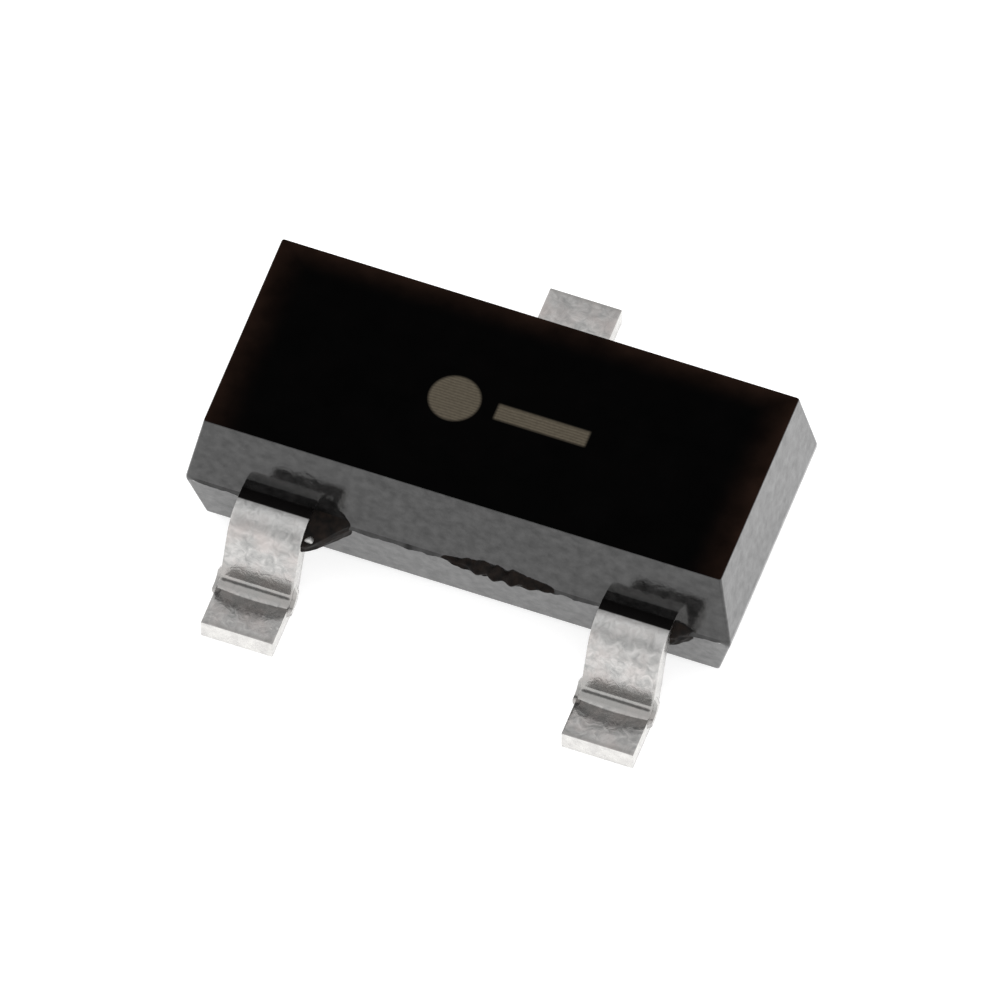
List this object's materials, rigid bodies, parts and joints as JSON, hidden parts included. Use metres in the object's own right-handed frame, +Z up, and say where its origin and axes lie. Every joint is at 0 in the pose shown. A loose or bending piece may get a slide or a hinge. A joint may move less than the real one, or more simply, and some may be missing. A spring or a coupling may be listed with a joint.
{
  "type": "surface-mount transistor",
  "caption": "Small surface-mount transistor: a drafted black moulded block on formed gull-wing leads, with the lead frame, die and looped bond wires sealed inside.",
  "frame": {"origin": "middle of the package on the seating plane of its feet", "axes": "+X along the length of the moulded block, +Y towards the single rear lead, +Z up from the seating plane"},
  "size_m": [0.0028, 0.0024, 0.0009],
  "materials": {
    "mould_resin": "moulded black filled epoxy, fine matte grain",
    "tinned_strip": "matte tin plate on stamped strip",
    "silver_glue": "cured silver-filled glue",
    "silicon": "polished silicon with a grey-blue sheen",
    "gold_wire": "drawn gold wire"
  },
  "bodies": {
    "root": {"mould_body": "mould_resin", "collector_lead": "tinned_strip", "base_lead": "tinned_strip", "emitter_lead": "tinned_strip", "die_attach": "silver_glue", "silicon_die": "silicon", "base_bond_wire": "gold_wire", "emitter_bond_wire": "gold_wire"}
  },
  "joints": []
}
